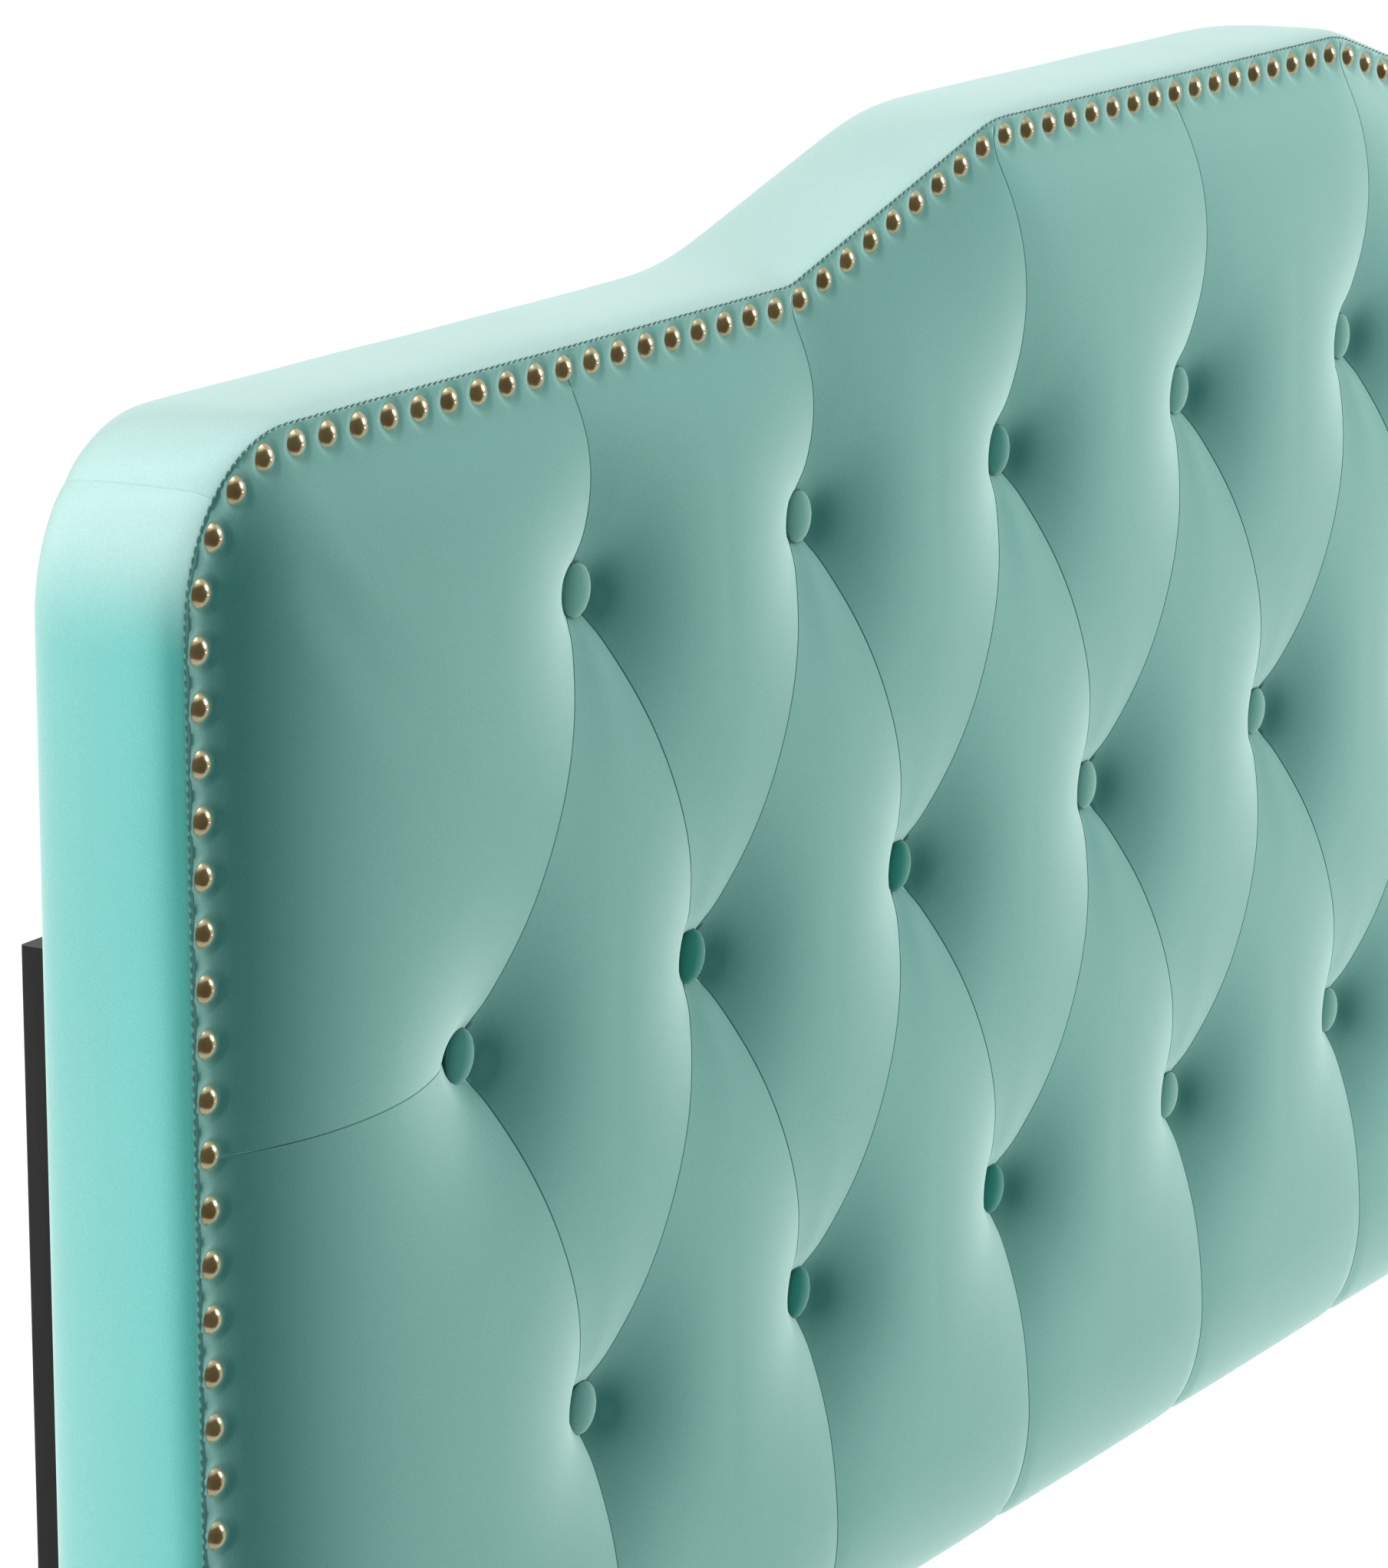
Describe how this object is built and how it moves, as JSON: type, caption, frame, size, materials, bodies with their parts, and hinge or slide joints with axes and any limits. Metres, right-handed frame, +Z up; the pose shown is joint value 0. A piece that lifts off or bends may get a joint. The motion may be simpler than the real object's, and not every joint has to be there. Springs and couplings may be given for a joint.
{
  "type": "upholstered headboard",
  "caption": "Tufted velvet headboard panel with a raised crown, covered buttons and brass nailhead trim, on slotted legs that set its height and bolt to a bed frame.",
  "frame": {"origin": "on the floor, under the middle of the overall box, with the panel at its lowest setting", "axes": "+Z up, +X to the right as seen from the front, +Y towards the wall; the tufted front faces -Y"},
  "size_m": [1.574, 0.1188, 1.22],
  "materials": {
    "velvet": "matte",
    "foam": "matte",
    "wadding": "matte",
    "plywood": "matte",
    "pine": "matte",
    "antique_brass": "satin",
    "black_wood": "satin",
    "zinc_steel": "satin",
    "dust_fabric": "matte",
    "twine": "matte",
    "glide_plastic": "matte"
  },
  "bodies": {
    "legs": {"leg_left": "black_wood", "leg_right": "black_wood", "foot_glide_left": "glide_plastic", "foot_glide_right": "glide_plastic"},
    "panel": {"foam_pad": "foam", "front_cover": "velvet", "side_band_left": "velvet", "top_band": "velvet", "side_band_right": "velvet", "bottom_band": "velvet", "edge_wadding": "wadding", "nail_strip_left": "pine", "nail_strip_top": "pine", "nail_strip_right": "pine", "backing_board": "plywood", "stile_left": "pine", "stile_right": "pine", "inner_stile_left": "pine", "centre_stile_left": "pine", "centre_stile_right": "pine", "inner_stile_right": "pine", "bottom_rail": "pine", "shoulder_rail_left": "pine", "ramp_rail_left": "pine", "crown_rail": "pine", "ramp_rail_right": "pine", "shoulder_rail_right": "pine", "corner_blocks": "pine", "buttons_top_row": "velvet", "buttons_middle_row": "velvet", "buttons_bottom_row": "velvet", "button_twine": "twine", "twine_toggles": "glide_plastic", "nailheads_left": "antique_brass", "nailheads_top": "antique_brass", "nailheads_right": "antique_brass", "dust_cover": "dust_fabric", "dust_cover_staples": "zinc_steel", "leg_inserts": "zinc_steel", "leg_washers": "zinc_steel", "leg_spring_washers": "zinc_steel", "leg_bolts": "zinc_steel"}
  },
  "joints": [
    {"name": "height_slide", "type": "slide", "parent": "legs", "child": "panel", "axis": [0, 0, 1], "range_m": [0, 0.15]}
  ]
}
